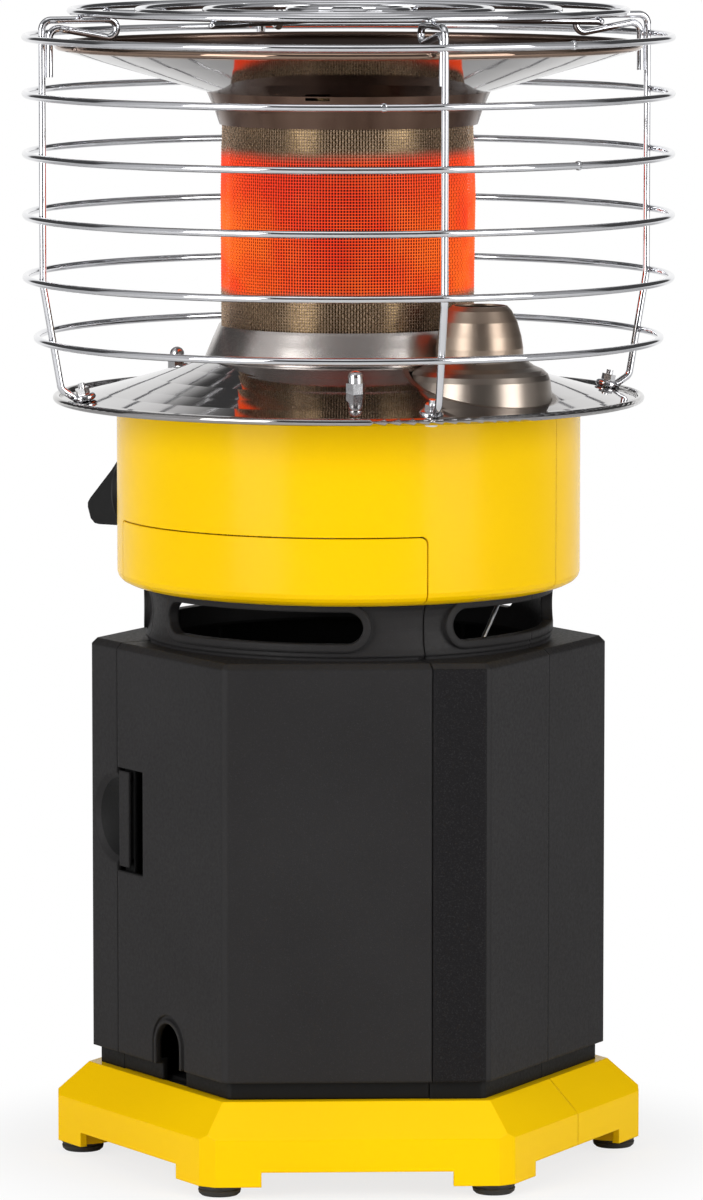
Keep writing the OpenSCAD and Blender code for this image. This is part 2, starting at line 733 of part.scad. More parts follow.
// ---------- door ----------
module latch_slot() {
  left_face() translate([slot_a, -30, slot_lo])
    cube([slot_b - slot_a + 3, 60, slot_hi - slot_lo]);
}
module hose_rim() {
  // raised rim round the hose port, in a shallow groove
  left_face() translate([45.3, 0, 0]) difference() {
    union() {
      translate([-11.2, -2.2, 45.5]) cube([22.4, 2.6, port_z - 45.5]);
      translate([0, 0.4, port_z]) rotate([90, 0, 0]) cylinder(r = 11.2, h = 2.6);
    }
    translate([-9.6, -9, 40]) cube([19.2, 20, port_z - 40]);
    translate([0, 5, port_z]) rotate([90, 0, 0]) cylinder(r = 9.6, h = 12);
  }
}
module hose_groove() {
  left_face() translate([45.3, 0, 0]) {
    translate([-13, -0.9, 44]) cube([26, 4, port_z - 44]);
    translate([0, 3.1, port_z]) rotate([90, 0, 0]) cylinder(r = 13, h = 4);
  }
}
module door_panel() {
  color(black) difference() {
    union() {
      difference() {
        intersection() {
          shell();
          union() {
            intersection() {
              door_zone(seam, deck_z);
              translate([0, 0, base_top + 0.4]) cylinder(r = 200, h = 300);
            }
            intersection() {
              door_zone(seam, deck_z + 5);
              neck_zone(seam, deck_z - e);
            }
            neck_zone(seam, deck_z + 0.4);
          }
        }
        hose_groove();
      }
      hose_rim();
      // flange that carries the yellow band
      sector(door_az, 46.8, 83, drum_r - drum_t, 256, 258);
      // guides of the latch, behind the wall
      left_face() {
        translate([64, -6.8, 174.4]) cube([20, 4.5, 2.4]);
        translate([64, -6.8, 171.6]) cube([20, 1.5, 4]);
        translate([64, -6.8, 113.8]) cube([20, 4.5, 2.4]);
        translate([64, -6.8, 115]) cube([20, 1.5, 4]);
      }
    }
    hose_port_cut();
    latch_slot();
  }
}
module door_band() {
  half = 47.43 - seam * 0.293;
  top = 271.9 - seam / 2;
  color(yellow) difference() {
    rotate([0, 0, door_az - 90 - half]) rotate_extrude(angle = 2 * half)
      polygon(concat([[drum_r, top]], foot_profile, [[drum_r - drum_t, top]]));
    band_corners(half, top);
  }
}
module hinge_arms() {
  color(steel) for (z = hinge_z) translate([0, 0, z - arm_h / 2]) difference() {
    union() {
      translate([hx, hy, 0]) {
        cylinder(r = 3, h = arm_h, $fn = 48);
        rotate([0, 0, 38]) rotate_extrude(angle = 150) translate([12.7, 0])
          square([3, arm_h]);
        rotate([0, 0, 40]) translate([1.8, 0, 0]) cube([12, 3, arm_h]);
      }
      translate([11, -face_y + wall, 0]) cube([16.6, 2.6, arm_h]);
    }
    translate([hx, hy, -1]) cylinder(r = 1.5 + run, h = arm_h + 2, $fn = 48);
  }
}
module hinge_pins() {
  color(steel) for (z = hinge_z) translate([hx, hy, z - arm_h / 2 - 3.4])
    cylinder(r = 1.5, h = arm_h + 6.8, $fn = 48);
}
module latch_slider() {
  // finger tab in the slot and the slider behind the wall
  color(black) left_face() union() {
    translate([slot_b - 9, -1.5, 125.4]) cube([8, 1.2, 40.5]);
    translate([slot_b - 8.3, -4.2, 129]) cube([6.6, 3, 33.4]);
    translate([slot_b - 8.7, -5, 116.5]) cube([7.6, 1.8, 57.5]);
  }
}

// ---------- control knob ----------
module push_collar() {
  color(steel) rotate([0, 0, knob_az]) difference() {
    translate([0, -82.2, knob_z]) rotate([90, 0, 0]) cylinder(r = 4.6, h = 2.4, $fn = 48);
    translate([0, -70, knob_z]) rotate([90, 0, 0]) cylinder(r = 3.2 + run, h = 40, $fn = 48);
  }
}
module knob_stem() {
  color(steel) rotate([0, 0, knob_az]) translate([0, 0, knob_z]) union() {
    translate([0, -85, 0]) rotate([90, 0, 0]) cylinder(r = 3.5, h = 17, $fn = 48);
    translate([0, -74, 0]) rotate([90, 0, 0]) cylinder(r = 3.2, h = 12, $fn = 48);
  }
}
module control_knob() {
  color([0.12, 0.12, 0.12]) rotate([0, 0, knob_az]) translate([0, 0, knob_z]) union() {
    translate([0, -102, 0]) rotate([90, 0, 0]) cylinder(r = 17, h = 3.4);
    translate([0, -105.3, 0]) rotate([90, 0, 0]) cylinder(r1 = 17, r2 = 15.6, h = 1.6);
    translate([-4.5, 0, 0]) rotate([90, 0, 90]) linear_extrude(height = 9)
      polygon([[-106, 15.2], [-108.5, 14.6], [-113, 8.3], [-123.6, -4.2], [-124.8, -6.2],
        [-124.8, -8.2], [-123.4, -13], [-121.4, -15], [-119.2, -15.4], [-106, -15.4]]);
  }
}

base_front();
base_rear();
rubber_feet();
base_screws();
cylinder_seat();
frame_front();
shell_rear();
drum_front();
drum_rear();
bulkhead();
injector_bridge();
regulator();
regulator_bracket();
inlet_seal();
valve_body();
feed_tube();
main_tube();
injector();
venturi();
burner_cup();
emitter_mesh();
inner_screen();
lower_collar();
upper_collar();
upper_reflector();
lower_dish();
dish_studs();
acorn_nuts();
pilot_shield();
pilot_bracket();
pilot_burner();
pilot_tube();
thermocouple();
spark_electrode();
igniter_lead();
stay_rod();
switch_bracket();
switch_pendulum();
cage_uprights();
guard_ring_1();
guard_ring_2();
guard_ring_3();
guard_ring_4();
guard_ring_5();
guard_ring_6();
grille_rings();
grille_bars();
cage_nuts();
door_panel();
door_band();
hinge_arms();
hinge_pins();
latch_slider();
push_collar();
knob_stem();
control_knob();
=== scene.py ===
import math

import bmesh
import bpy
import numpy as np
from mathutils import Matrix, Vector


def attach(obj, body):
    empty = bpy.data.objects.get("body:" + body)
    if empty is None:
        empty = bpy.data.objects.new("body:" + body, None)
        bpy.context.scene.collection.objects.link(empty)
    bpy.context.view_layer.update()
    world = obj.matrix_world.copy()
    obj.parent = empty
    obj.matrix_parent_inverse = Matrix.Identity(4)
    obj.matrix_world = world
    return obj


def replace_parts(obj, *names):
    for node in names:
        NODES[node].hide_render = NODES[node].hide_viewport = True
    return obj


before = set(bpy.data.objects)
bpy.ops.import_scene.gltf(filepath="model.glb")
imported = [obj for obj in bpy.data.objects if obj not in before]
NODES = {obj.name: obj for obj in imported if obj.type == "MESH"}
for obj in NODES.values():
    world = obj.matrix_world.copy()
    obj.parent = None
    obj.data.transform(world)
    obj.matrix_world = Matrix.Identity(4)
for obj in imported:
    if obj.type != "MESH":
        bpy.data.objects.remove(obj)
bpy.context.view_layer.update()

D = bpy.data

# ---------------------------------------------------------------- sizes (m)
# Woven emitter: its offset from the axis, radius, ends, and the pitch, wave and radius of its wires
MESH_DX = -0.0004
MESH_R = 0.053
MESH_LOW, MESH_HIGH = 0.3448, 0.4452
WEAVE = 0.00125
WAVE = 0.00019
WIRE_R = 0.00020
# Heights between which the emitter glows
GLOW_LOW, GLOW_HIGH = 0.3675, 0.4240
# Axis of the pilot boss, and the distances over which its satin finish sets in
PILOT = (0.05219, -0.05797)
BOSS_FADE = (0.0335, 0.0312)
# Upper reflector: where its rolled rim begins, and where its darker top ends
RIM_FADE = (0.1185, 0.1212)
DARK_TOP_FADE = (0.1225, 0.1215)
# Direction square to a slanting flat of the hexagon
FLAT_X, FLAT_Y = 0.866, 0.5
# Inside of the base, bounds of its painted shade: half its width across the flats, and the floor of
# the cylinder bay
PLINTH_IN = 0.0905
BAY_FLOOR = 0.0372
# Inside of the body, bounds of its painted shade: half its width across the flats, and the underside
# of its deck
BODY_IN = 0.0931
DECK_UNDER = 0.2185
# The dark strip of the frame lies in front of the first and right of the second
STRIP_Y = -0.0945
STRIP_X = 0.0315
# Lips behind the joint of the shells: inner and outer face, half width, chamfer, lower and upper end
LIP_IN, LIP_OUT = 0.0913, 0.0922
LIP_HALF = 0.0032
LIP_CHAMFER = 0.0004
LIP_LOW, LIP_HIGH = 0.050, 0.216
# Guard rings and the beads of their welds: radii, height of the lump, half length, outermost reach
RING_R = 0.1357
BEAD_R = 0.0014
BEAD_LUMP = 0.00052
BEAD_HALF = 0.0012
BEAD_REACH = 0.00145
# Floor: radius, drop under the feet, and the ring over which the object's shadow fades out
FLOOR_R = 40.0
FLOOR_DROP = 0.0002
SHADOW_FADE = (0.11, 0.21)


# ---------------------------------------------------------------- node helpers
class Tree:
    """Short calls for building a node tree."""

    def __init__(self, tree):
        self.t = tree
        tree.nodes.clear()

    def new(self, kind, **props):
        n = self.t.nodes.new(kind)
        for k, v in props.items():
            setattr(n, k, v)
        return n

    def link(self, a, b):
        self.t.links.new(a, b)

    def put(self, sock, v):
        """Link an output to a socket, or set the socket to a value."""
        if hasattr(v, "is_output"):
            self.link(v, sock)
        elif v is not None:
            sock.default_value = v

    def math(self, op, a, b=None):
        n = self.new("ShaderNodeMath", operation=op)
        self.put(n.inputs[0], a)
        self.put(n.inputs[1], b)
        return n.outputs[0]

    def add(self, a, b):
        return self.math("ADD", a, b)

    def sub(self, a, b):
        return self.math("SUBTRACT", a, b)

    def mul(self, a, b):
        return self.math("MULTIPLY", a, b)

    def below(self, a, b):
        return self.math("LESS_THAN", a, b)

    def above(self, a, b):
        return self.math("GREATER_THAN", a, b)

    def larger(self, a, b):
        return self.math("MAXIMUM", a, b)

    def size(self, a):
        return self.math("ABSOLUTE", a)

    def length(self, a, b):
        """Length of a flat vector."""
        return self.math("SQRT", self.add(self.mul(a, a), self.mul(b, b)))

    def coord(self):
        return self.new("ShaderNodeTexCoord").outputs["Object"]

    def normal(self):
        return self.new("ShaderNodeNewGeometry").outputs["Normal"]

    def xyz(self, v):
        n = self.new("ShaderNodeSeparateXYZ")
        self.link(v, n.inputs[0])
        return n.outputs[0], n.outputs[1], n.outputs[2]

    def vec(self, x, y, z):
        n = self.new("ShaderNodeCombineXYZ")
        for i, v in enumerate((x, y, z)):
            self.put(n.inputs[i], v)
        return n.outputs[0]

    def noise(self, scale, detail=3.0, rough=0.55, vec=None):
        n = self.new("ShaderNodeTexNoise")
        self.put(n.inputs["Vector"], vec if vec is not None else self.coord())
        n.inputs["Scale"].default_value = scale
        n.inputs["Detail"].default_value = detail
        n.inputs["Roughness"].default_value = rough
        return n.outputs["Fac"]

    def remap(self, v, a, b, c=0.0, d=1.0, smooth=False):
        """Carry the range a to b over to c to d, and stop at its ends."""
        n = self.new("ShaderNodeMapRange")
        n.interpolation_type = "SMOOTHSTEP" if smooth else "LINEAR"
        n.clamp = True
        self.link(v, n.inputs["Value"])
        for name, val in (("From Min", a), ("From Max", b), ("To Min", c), ("To Max", d)):
            self.put(n.inputs[name], val)
        return n.outputs[0]

    def mix(self, fac, a, b):
        """Mix two colours; the node's colour sockets are 6 and 7, and its colour output is 2."""
        n = self.new("ShaderNodeMix", data_type="RGBA")
        self.put(n.inputs[0], fac)
        self.put(n.inputs[6], rgba(a))
        self.put(n.inputs[7], rgba(b))
        return n.outputs[2]

    def mix_shader(self, fac, a, b):
        n = self.new("ShaderNodeMixShader")
        self.link(fac, n.inputs[0])
        self.link(a, n.inputs[1])
        self.link(b, n.inputs[2])
        return n.outputs[0]

    def soft_edge(self, radius):
        n = self.new("ShaderNodeBevel", samples=4)
        n.inputs["Radius"].default_value = radius
        return n.outputs[0]

    def bump(self, height, strength, distance, normal=None):
        n = self.new("ShaderNodeBump")
        n.inputs["Strength"].default_value = strength
        n.inputs["Distance"].default_value = distance
        self.link(height, n.inputs["Height"])
        if normal is not None:
            self.link(normal, n.inputs["Normal"])
        return n.outputs[0]


def rgba(v):
    """A colour with its alpha; an output of a node stays as it is."""
    if hasattr(v, "is_output"):
        return v
    return tuple(v) + (1.0,)


def material(name, color=None, rough=None, metal=0.0, spec=0.5, build=None):
    """A Principled material; build(tree, bsdf) adds what varies over the surface."""
    m = D.materials.new(name)
    m.use_nodes = True
    t = Tree(m.node_tree)
    out = t.new("ShaderNodeOutputMaterial")
    b = t.new("ShaderNodeBsdfPrincipled")
    t.link(b.outputs[0], out.inputs[0])
    b.inputs["Metallic"].default_value = metal
    b.inputs["Specular IOR Level"].default_value = spec
    if color is not None:
        t.put(b.inputs["Base Color"], rgba(color))
    t.put(b.inputs["Roughness"], rough)
    build(t, b)
    return m


def around(t):
    """Angle round the axis (radians), radius and height of a point."""
    x, y, z = t.xyz(t.coord())
    return t.math("ARCTAN2", x, t.mul(y, -1.0)), t.length(x, y), z


def hex_distance(t):
    """Distance from the axis, square to the nearest flat of the hexagon, and the point itself."""
    x, y, z = t.xyz(t.coord())
    u = t.mul(x, FLAT_X)
    v = t.mul(y, FLAT_Y)
    slanting = t.larger(t.size(t.add(u, v)), t.size(t.sub(u, v)))
    return t.larger(slanting, t.size(y)), x, y, z


# ---------------------------------------------------------------- materials
def yellow_build(base):
    """Semi-gloss coat with a little orange peel; on the base, painted shade darkens the floor of the
    cylinder bay inside the plinth.
    """
    def build(t, b):
        big = t.noise(6.0, 2.0)
        peel = t.noise(900.0, 2.0, 0.5)
        col = t.mix(t.remap(big, 0.35, 0.65), (0.94, 0.565, 0.0), (0.99, 0.615, 0.0))
        if base:
            # painted shade: the floor of the cylinder bay, inside the plinth, is darkened to near
            # black
            far, x, y, z = hex_distance(t)
            inside = t.mul(t.below(far, PLINTH_IN), t.above(z, BAY_FLOOR))
            col = t.mix(inside, col, (0.012, 0.012, 0.012))
        t.link(col, b.inputs["Base Color"])
        t.link(t.remap(t.noise(60.0, 3.0), 0.3, 0.7, 0.18, 0.24), b.inputs["Roughness"])
        t.link(t.bump(peel, 0.10, 0.00025, t.soft_edge(0.0008)), b.inputs["Normal"])
    return build


def black_build(dark_strip):
    """Fine-grained black moulding, with painted shade inside the body behind its walls, and on the
    frame darker along one strip.
    """
    def build(t, b):
        grain = t.noise(2600.0, 2.0, 0.6)
        cloud = t.noise(14.0, 3.0)
        col = t.mix(t.remap(cloud, 0.3, 0.7), (0.0158, 0.0149, 0.0153), (0.0200, 0.0190, 0.0195))
        speck = t.remap(grain, 0.60, 0.76)
        col = t.mix(t.mul(speck, 0.35), col, (0.070, 0.068, 0.069))
        rough = t.remap(t.noise(700.0, 2.0), 0.3, 0.7, 0.46, 0.60)
        far, x, y, z = hex_distance(t)
        if dark_strip:
            on = t.mul(t.below(y, STRIP_Y), t.above(x, STRIP_X))
            spot = t.remap(t.noise(1500.0, 3.0, 0.7), 0.52, 0.70)
            strip = t.mix(spot, (0.0055, 0.0050, 0.0058), (0.020, 0.019, 0.020))
            col = t.mix(on, col, strip)
            rough = t.add(rough, t.mul(on, 0.12))
        # painted shade: inside the body, under its deck, the moulding is darkened
        painted_inner_shade = t.mul(t.below(far, BODY_IN), t.below(z, DECK_UNDER))
        col = t.mix(painted_inner_shade, col, (0.0050, 0.0049, 0.0050))
        t.link(col, b.inputs["Base Color"])
        t.link(rough, b.inputs["Roughness"])
        t.link(t.bump(grain, 0.35, 0.00012, t.soft_edge(0.0016)), b.inputs["Normal"])
    return build


def metal_build(color, lo, hi, scale, brush=None, bump=0.02):
    """Bare metal, rough from lo to hi; brush gives the lines round the axis and along it."""
    def build(t, b):
        n = t.noise(scale, 4.0)
        dull = [c * 0.93 for c in color]
        t.link(t.mix(t.remap(n, 0.3, 0.7), dull, color), b.inputs["Base Color"])
        if brush:
            a, r, z = around(t)
            lines = t.noise(1.0, 4.0, 0.7, vec=t.vec(t.mul(a, brush[0]), t.mul(z, brush[1]), 0.0))
            t.link(t.remap(lines, 0.25, 0.75, lo, hi), b.inputs["Roughness"])
            t.link(t.bump(lines, bump, 0.0002), b.inputs["Normal"])
        else:
            t.link(t.remap(t.noise(scale * 9, 3.0), 0.3, 0.7, lo, hi), b.inputs["Roughness"])
            t.link(t.bump(t.noise(scale * 30, 2.0), bump, 0.0002), b.inputs["Normal"])
    return build


def glow_of(t, z, soft):
    """How far a height is inside the glowing zone, with a slightly uneven edge."""
    uneven = t.mul(t.sub(t.noise(22.0, 3.0, 0.6), 0.5), 0.007)
    zz = t.add(z, uneven)
    return t.mul(t.remap(zz, GLOW_LOW - soft, GLOW_LOW + soft, 0, 1, True),
                 t.remap(zz, GLOW_HIGH + soft * 1.6, GLOW_HIGH - soft, 0, 1, True))


def weave_build(t, b):
    """Heat-tinted woven wire, glowing in its middle and redder towards its top."""
    a, r, z = around(t)
    glow = glow_of(t, z, 0.0026)
    patch = t.noise(30.0, 3.0, 0.6)
    tint = t.remap(t.noise(30.0, 3.0), 0.3, 0.7)
    cool = t.mix(tint, (0.20, 0.135, 0.095), (0.42, 0.305, 0.205))
    t.link(t.mix(glow, cool, (0.10, 0.012, 0.005)), b.inputs["Base Color"])
    em = t.mix(t.remap(patch, 0.34, 0.66), (0.95, 0.044, 0.008), (1.0, 0.135, 0.010))
    low = t.remap(z, 0.425, 0.395, 0.0, 1.0, True)
    em = t.mix(t.mul(t.sub(1.0, low), 0.6), em, (0.85, 0.040, 0.014))
    t.link(em, b.inputs["Emission Color"])
    t.link(t.mul(glow, t.remap(patch, 0.3, 0.7, 1.08, 1.22)), b.inputs["Emission Strength"])
    t.link(t.sub(1.0, t.mul(glow, 0.95)), b.inputs["Metallic"])
    t.link(t.remap(t.noise(500.0), 0.3, 0.7, 0.22, 0.34), b.inputs["Roughness"])


def screen_build(t, b):
    """Brassy inner screen behind the weave, dark red where it glows."""
    a, r, z = around(t)
    glow = glow_of(t, z, 0.0035)
    cool = t.mix(t.noise(80.0), (0.13, 0.085, 0.042), (0.27, 0.19, 0.10))
    t.link(t.mix(glow, cool, (0.015, 0.004, 0.003)), b.inputs["Base Color"])
    em = t.mix(t.noise(60.0), (0.045, 0.003, 0.002), (0.10, 0.006, 0.003))
    t.link(em, b.inputs["Emission Color"])
    t.link(glow, b.inputs["Emission Strength"])
    t.link(t.sub(1.0, glow), b.inputs["Metallic"])
    rough = t.add(t.remap(t.noise(300.0), 0.3, 0.7, 0.16, 0.26), t.mul(glow, 0.5))
    t.link(rough, b.inputs["Roughness"])
    t.link(t.bump(t.noise(1200.0), 0.08, 0.0003), b.inputs["Normal"])


def heated_build(c0, c1, lo, hi, boss=False, rim=False):
    """Metal tinted by the burner, in clouds and streaks from c0 to c1, rough from lo to hi."""
    def build(t, b):
        a, r, z = around(t)
        n = t.noise(9.0, 4.0, 0.6)
        streak = t.noise(1.0, 3.0, 0.5, vec=t.vec(t.mul(a, 3.0), t.mul(r, 40.0), z))
        f = t.add(t.mul(n, 0.6), t.mul(streak, 0.4))
        col = t.mix(t.remap(f, 0.38, 0.62), c0, c1)
        rough = t.remap(t.noise(50.0, 3.0), 0.3, 0.7, lo, hi)
        if boss:
            # satin, bronze-tinted boss of the pilot
            x, y, z = t.xyz(t.coord())
            away = t.length(t.sub(x, PILOT[0]), t.sub(y, PILOT[1]))
            near = t.remap(away, *BOSS_FADE, 0.0, 1.0, True)
            col = t.mix(near, col, t.mix(n, (0.27, 0.225, 0.185), (0.40, 0.345, 0.30)))
            rough = t.add(rough, t.mul(near, 0.24))
        if rim:
            # bronzed rolled rim, and an upper side made darker, picked by the direction the surface
            # faces
            edge = t.remap(r, *RIM_FADE, 0.0, 1.0, True)
            col = t.mix(edge, col, t.mix(n, (0.22, 0.14, 0.10), (0.42, 0.31, 0.24)))
            up = t.remap(t.xyz(t.normal())[2], 0.05, 0.25, 0.0, 1.0)
            up = t.mul(up, t.remap(r, *DARK_TOP_FADE, 0.0, 1.0))
            col = t.mix(up, col, t.mix(n, (0.05, 0.028, 0.022), (0.13, 0.085, 0.065)))
            rough = t.add(rough, t.mul(up, 0.30))
        t.link(col, b.inputs["Base Color"])
        t.link(rough, b.inputs["Roughness"])
        t.link(t.bump(streak, 0.02, 0.0004), b.inputs["Normal"])
    return build


def knob_build(t, b):
    g = t.noise(1800.0, 2.0)
    t.link(t.mix(g, (0.003, 0.003, 0.003), (0.006, 0.006, 0.0062)), b.inputs["Base Color"])
    t.link(t.remap(t.noise(200.0), 0.3, 0.7, 0.38, 0.48), b.inputs["Roughness"])
    t.link(t.bump(g, 0.15, 0.0001), b.inputs["Normal"])


def rubber_build(t, b):
    g = t.noise(900.0, 3.0)
    t.link(t.mix(g, (0.012, 0.011, 0.010), (0.026, 0.025, 0.023)), b.inputs["Base Color"])
    t.link(t.remap(g, 0.3, 0.7, 0.42, 0.62), b.inputs["Roughness"])
    t.link(t.bump(g, 0.2, 0.0002), b.inputs["Normal"])


def glaze_build(t, b):
    t.link(t.bump(t.noise(300.0), 0.05, 0.0003), b.inputs["Normal"])


def metal(name, *finish, **more):
    """A bare metal, with what metal_build takes."""
    return material(name, metal=1.0, build=metal_build(*finish, **more))


def heated(name, *finish, **more):
    """A tinted metal, with what heated_build takes."""
    return material(name, metal=1.0, build=heated_build(*finish, **more))


M = {
    "yellow": material("yellow_coat", spec=0.1, build=yellow_build(base=False)),
    "yellow_base": material("yellow_base_coat", spec=0.08, build=yellow_build(base=True)),
    "black": material("black_moulding", spec=0.18, build=black_build(dark_strip=False)),
    "black_strip": material("black_frame_moulding", spec=0.18, build=black_build(dark_strip=True)),
    "knob": material("knob_black", spec=0.15, build=knob_build),
    "rubber": material("foot_rubber", build=rubber_build),
    "chrome": metal("bright_wire", (0.74, 0.745, 0.77), 0.035, 0.08, 60.0),
    "nut": metal("bright_nut", (0.82, 0.82, 0.83), 0.10, 0.2, 120.0),
    "zinc": metal("zinc_plate", (0.58, 0.59, 0.60), 0.28, 0.42, 50.0),
    "cast": metal("cast_alloy", (0.52, 0.52, 0.53), 0.42, 0.58, 90.0, bump=0.15),
    "brass": metal("turned_brass", (0.72, 0.55, 0.24), 0.2, 0.34, 60.0),
    "copper": metal("drawn_copper", (0.72, 0.42, 0.28), 0.22, 0.38, 60.0),
    "lead": material("lead_cover", build=rubber_build),
    "weave": material("woven_emitter", spec=0.15, build=weave_build),
    "screen": material("inner_screen_wire", spec=0.15, build=screen_build),
    "collar": metal("brushed_collar", (0.68, 0.635, 0.60), 0.22, 0.27, 12.0,
                    brush=(4.0, 60.0), bump=0.0),
    "collar_hot": heated("tinted_collar", (0.075, 0.042, 0.028), (0.19, 0.125, 0.095), 0.14, 0.24),
    "dish": heated("polished_dish", (0.39, 0.373, 0.364), (0.46, 0.451, 0.45), 0.03, 0.07,
                   boss=True),
    "reflector": heated("tinted_reflector", (0.28, 0.262, 0.25), (0.35, 0.338, 0.335), 0.035, 0.07,
                        rim=True),
    "shield": heated("satin_shield", (0.29, 0.215, 0.16), (0.43, 0.345, 0.275), 0.32, 0.44),
    "ceramic": material("glazed_ceramic", (0.80, 0.78, 0.72), 0.2, build=glaze_build),
}

USES = {
    "yellow": "drum_front drum_rear door_band",
    "yellow_base": "base_front base_rear",
    "black": "shell_rear door_panel cylinder_seat latch_slider",
    "black_strip": "frame_front",
    "knob": "control_knob",
    "rubber": "rubber_feet inlet_seal",
    "lead": "igniter_lead",
    "zinc": "base_screws bulkhead injector_bridge knob_stem regulator_bracket burner_cup dish_studs"
            " pilot_bracket stay_rod switch_bracket switch_pendulum hinge_arms hinge_pins push_collar",
    "cast": "regulator venturi",
    "brass": "valve_body feed_tube main_tube injector pilot_burner pilot_tube",
    "copper": "thermocouple",
    "chrome": "cage_uprights guard_ring_1 guard_ring_2 guard_ring_3 guard_ring_4 guard_ring_5"
              " guard_ring_6 grille_rings grille_bars",
    "nut": "acorn_nuts cage_nuts",
    "weave": "emitter_mesh",
    "screen": "inner_screen",
    "collar": "lower_collar",
    "collar_hot": "upper_collar",
    "reflector": "upper_reflector",
    "dish": "lower_dish",
    "shield": "pilot_shield",
    "ceramic": "spark_electrode",
}
for key, names in USES.items():
    for name in names.split():
        for slot in NODES[name].material_slots:
            slot.material = M[key]


# ---------------------------------------------------------------- pieces
def add_piece(name, me, mat):
    """Turn a mesh into a piece that rides on the heater, with the finish of a material slot."""
    me.materials.append(mat)
    ob = D.objects.new(name, me)
    bpy.context.scene.collection.objects.link(ob)
    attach(ob, "heater")
    return ob


def quad_mesh(name, verts, faces):
    """A smooth mesh of four-sided faces, from arrays of points and of their numbers."""
    me = D.meshes.new(name)
    verts = np.asarray(verts, dtype=np.float32)
    faces = np.asarray(faces, dtype=np.int32)
    me.vertices.add(len(verts))
    me.vertices.foreach_set("co", verts.ravel())
    me.loops.add(faces.size)
    me.loops.foreach_set("vertex_index", faces.ravel())
    me.polygons.add(len(faces))
    me.polygons.foreach_set("loop_start", np.arange(0, faces.size, faces.shape[1], dtype=np.int32))
    me.polygons.foreach_set("use_smooth", np.full(len(faces), True))
    me.update(calc_edges=True)
    return me


def woven_tube():
    """Warp and weft of the emitter, each wire four-sided and passing over and under."""
    sides = 4
    n_u = 2 * round(math.pi * MESH_R / WEAVE)
    n_v = round((MESH_HIGH - MESH_LOW) / WEAVE)
    th = np.arange(n_u) * 2 * math.pi / n_u
    zs = MESH_LOW + np.arange(n_v + 1) * WEAVE
    sign = np.where((np.arange(n_v + 1)[:, None] + np.arange(n_u)[None, :]) % 2 == 0, 1.0, -1.0)
    k = np.arange(sides)
    nxt = (k + 1) % sides
    ph = (k + 0.5) * math.pi / 2
    # the tube is a little narrower at its top and bulges on its right side
    full = np.interp(zs, (0.345, 0.385, 0.405, 0.425, 0.446),
                     (0.05295, 0.0531, 0.0532, 0.0529, 0.0522))
    lump = np.interp(zs, (0.375, 0.408, 0.430), (0.0, 1.0, 0.0))
    rad = full[:, None] + 0.0004 * lump[:, None] * np.maximum(np.sin(th), 0)[None, :]
    # weft rings: (ring, position, corner)
    r = rad[:, :, None] + WAVE * sign[:, :, None] + WIRE_R * np.cos(ph)[None, None, :]
    z = zs[:, None, None] + WIRE_R * np.sin(ph)[None, None, :] + 0 * r
    T = th[None, :, None] + 0 * r
    weft = np.stack([r * np.sin(T) + MESH_DX, -r * np.cos(T), z], -1).reshape(-1, 3)
    i, j = np.meshgrid(np.arange(n_v + 1), np.arange(n_u), indexing="ij")
    a = (i * n_u + j)[..., None] * sides
    b = (i * n_u + (j + 1) % n_u)[..., None] * sides
    weft_faces = np.stack([a + k, b + k, b + nxt, a + nxt], -1).reshape(-1, 4)
    # warp wires: (wire, height, corner)
    r = rad.T[:, :, None] - WAVE * sign.T[:, :, None] + WIRE_R * np.cos(ph)[None, None, :]
    T = th[:, None, None] + (WIRE_R * np.sin(ph) / MESH_R)[None, None, :] + 0 * r
    z = zs[None, :, None] + 0 * r
    warp = np.stack([r * np.sin(T) + MESH_DX, -r * np.cos(T), z], -1).reshape(-1, 3)
    i, j = np.meshgrid(np.arange(n_u), np.arange(n_v), indexing="ij")
    a = (i * (n_v + 1) + j)[..., None] * sides
    b = a + sides
    warp_faces = np.stack([a + k, a + nxt, b + nxt, b + k], -1).reshape(-1, 4) + len(weft)
    me = quad_mesh("woven_emitter", np.concatenate([weft, warp]),
                   np.concatenate([weft_faces, warp_faces]))
    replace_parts(add_piece("woven_emitter", me, M["weave"]), "emitter_mesh")


def seam_lip(name, az):
    """Thin lip behind the joint of the two shells, with chamfered edges."""
    w, c = LIP_HALF, LIP_CHAMFER
    prof = [(-w + c, LIP_IN), (w - c, LIP_IN), (w, LIP_IN + c),
            (w, LIP_OUT), (-w, LIP_OUT), (-w, LIP_IN + c)]
    ca, sa = math.cos(math.radians(az)), math.sin(math.radians(az))
    zs = (LIP_LOW, LIP_LOW + c, LIP_HIGH - c, LIP_HIGH)
    verts = [(x * ca + y * sa, x * sa - y * ca, z) for z in zs for x, y in prof]
    n = len(prof)
    bm = bmesh.new()
    vs = [bm.verts.new(v) for v in verts]
    for i in range(len(zs) - 1):
        for k in range(n):
            nxt = (k + 1) % n
            bm.faces.new([vs[i * n + k], vs[i * n + nxt], vs[(i + 1) * n + nxt], vs[(i + 1) * n + k]])
    bm.faces.new(vs[:n][::-1])
    bm.faces.new(vs[-n:])
    bmesh.ops.recalc_face_normals(bm, faces=bm.faces)
    me = D.meshes.new(name)
    bm.to_mesh(me)
    bm.free()
    add_piece(name, me, M["black"])


